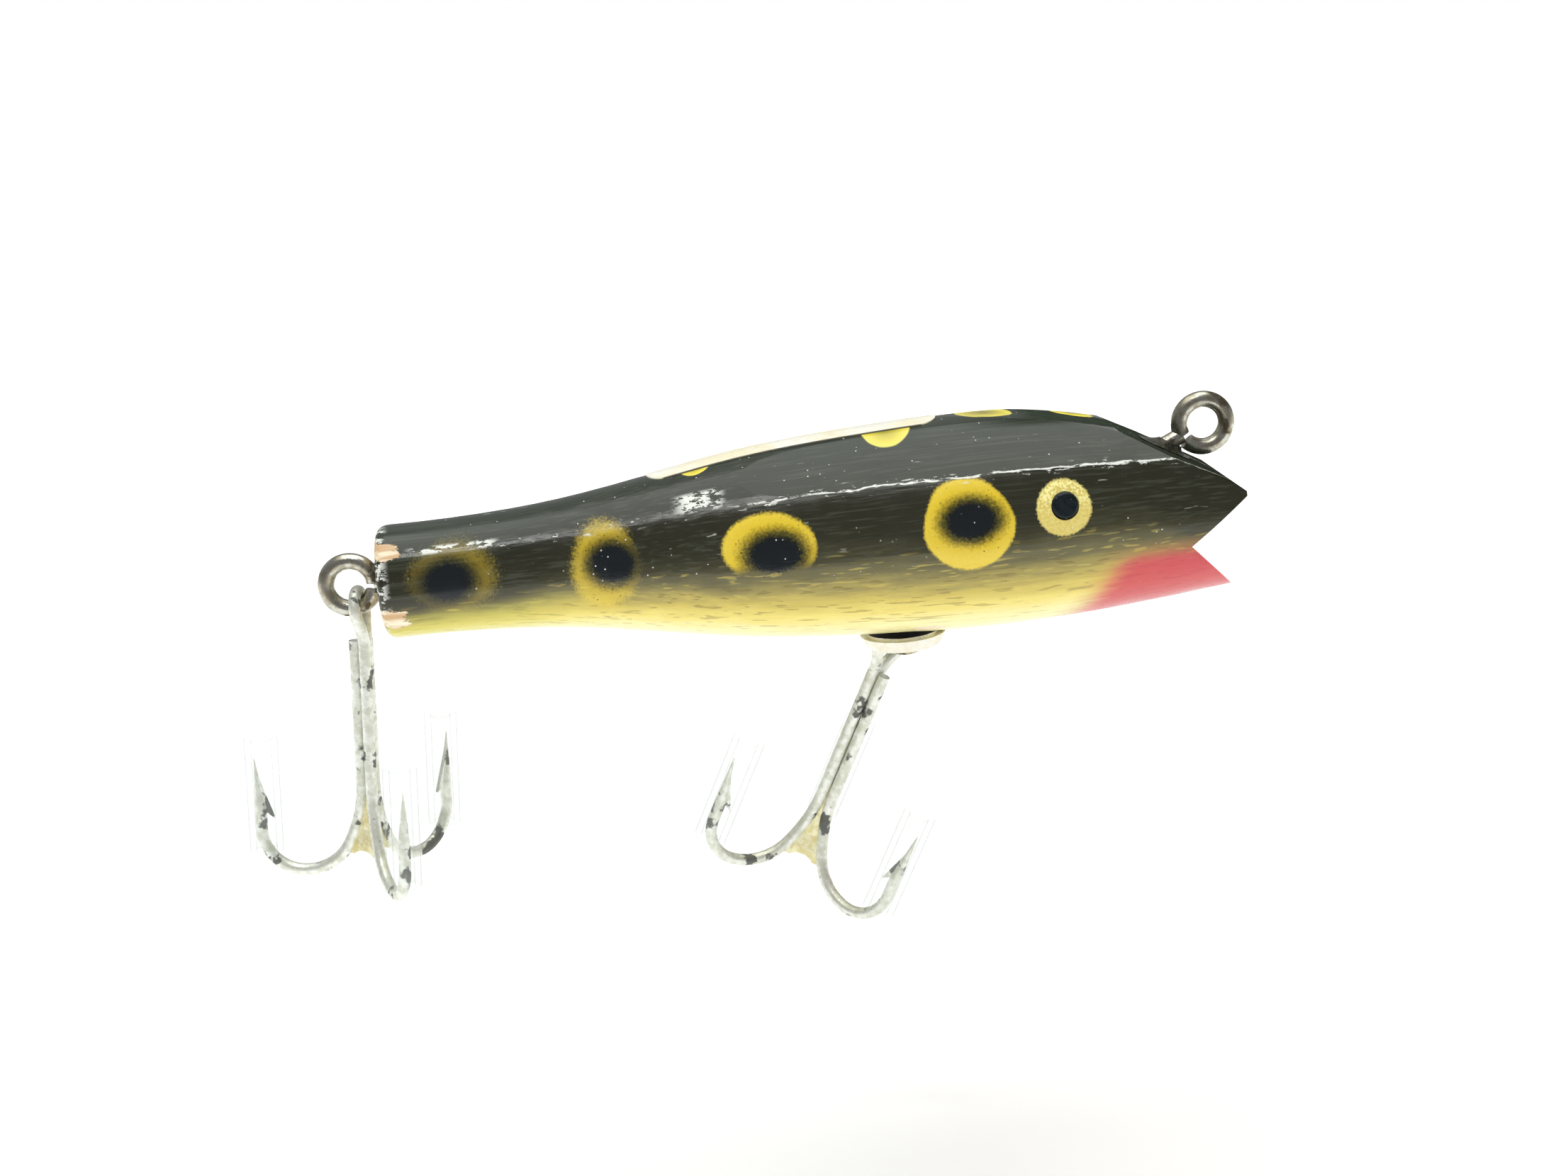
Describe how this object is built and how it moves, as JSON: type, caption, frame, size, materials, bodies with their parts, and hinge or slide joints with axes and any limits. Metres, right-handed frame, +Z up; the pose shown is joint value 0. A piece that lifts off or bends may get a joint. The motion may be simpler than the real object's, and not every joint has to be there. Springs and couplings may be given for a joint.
{
  "type": "topwater fishing plug",
  "caption": "Turned wooden topwater plug with a planed head and notched mouth, hung with barbed treble hooks in clear point protectors.",
  "frame": {"origin": "centre of the line-tie ring, where the fishing line is knotted", "axes": "+X along the turning axis towards the nose, +Z up through the back, +Y to the left side"},
  "size_m": [0.1125, 0.0314, 0.0561],
  "materials": {
    "painted_wood": "gloss enamel over turned wood, worn",
    "nickelled_wire": "tarnished nickel plate",
    "brass_wire": "nickelled brass, worn",
    "pressed_nickel": "bright nickel",
    "black_enamel": "gloss enamel",
    "aged_paper": "varnished paper",
    "tinned_steel": "worn tin plate",
    "yellow_braze": "satin braze metal",
    "clear_vinyl": "clear vinyl tube"
  },
  "bodies": {
    "lure": {"body": "painted_wood", "line_tie_screw_eye": "nickelled_wire", "tail_screw_eye": "nickelled_wire", "belly_screw_eye": "brass_wire", "belly_hook_cup": "pressed_nickel", "left_eye_pupil": "black_enamel", "right_eye_pupil": "black_enamel", "back_label": "aged_paper"},
    "tail_treble": {"tail_hook_double": "tinned_steel", "tail_hook_single": "tinned_steel", "tail_hook_braze": "yellow_braze"},
    "belly_treble": {"belly_hook_double": "tinned_steel", "belly_hook_single": "tinned_steel", "belly_hook_braze": "yellow_braze"},
    "tail_rear_point_protector": {"tail_rear_point_protector": "clear_vinyl"},
    "tail_left_point_protector": {"tail_left_point_protector": "clear_vinyl"},
    "tail_right_point_protector": {"tail_right_point_protector": "clear_vinyl"},
    "belly_rear_point_protector": {"belly_rear_point_protector": "clear_vinyl"},
    "belly_left_point_protector": {"belly_left_point_protector": "clear_vinyl"},
    "belly_right_point_protector": {"belly_right_point_protector": "clear_vinyl"}
  },
  "joints": [
    {"name": "tail_treble_swing", "type": "hinge", "parent": "lure", "child": "tail_treble", "pos_m": [-0.09365, 0, -0.0079], "axis": [0, 1, 0], "range_deg": [-15, 175]},
    {"name": "belly_treble_swing", "type": "hinge", "parent": "lure", "child": "belly_treble", "pos_m": [-0.0345, 0, -0.0189], "axis": [0.3697, 0.9291, 0], "range_deg": [-56, 0]},
    {"name": "tail_rear_protector_slide", "type": "slide", "parent": "tail_treble", "child": "tail_rear_point_protector", "axis": [0.0889, 0, 0.996], "range_m": [0, 0.0095]},
    {"name": "tail_left_protector_slide", "type": "slide", "parent": "tail_treble", "child": "tail_left_point_protector", "axis": [0.0889, 0, 0.996], "range_m": [0, 0.0095]},
    {"name": "tail_right_protector_slide", "type": "slide", "parent": "tail_treble", "child": "tail_right_point_protector", "axis": [0.0889, 0, 0.996], "range_m": [0, 0.0095]},
    {"name": "belly_rear_protector_slide", "type": "slide", "parent": "belly_treble", "child": "belly_rear_point_protector", "axis": [0.4218, -0.1679, 0.891], "range_m": [0, 0.0095]},
    {"name": "belly_left_protector_slide", "type": "slide", "parent": "belly_treble", "child": "belly_left_point_protector", "axis": [0.4218, -0.1679, 0.891], "range_m": [0, 0.0095]},
    {"name": "belly_right_protector_slide", "type": "slide", "parent": "belly_treble", "child": "belly_right_point_protector", "axis": [0.4218, -0.1679, 0.891], "range_m": [0, 0.0095]}
  ]
}
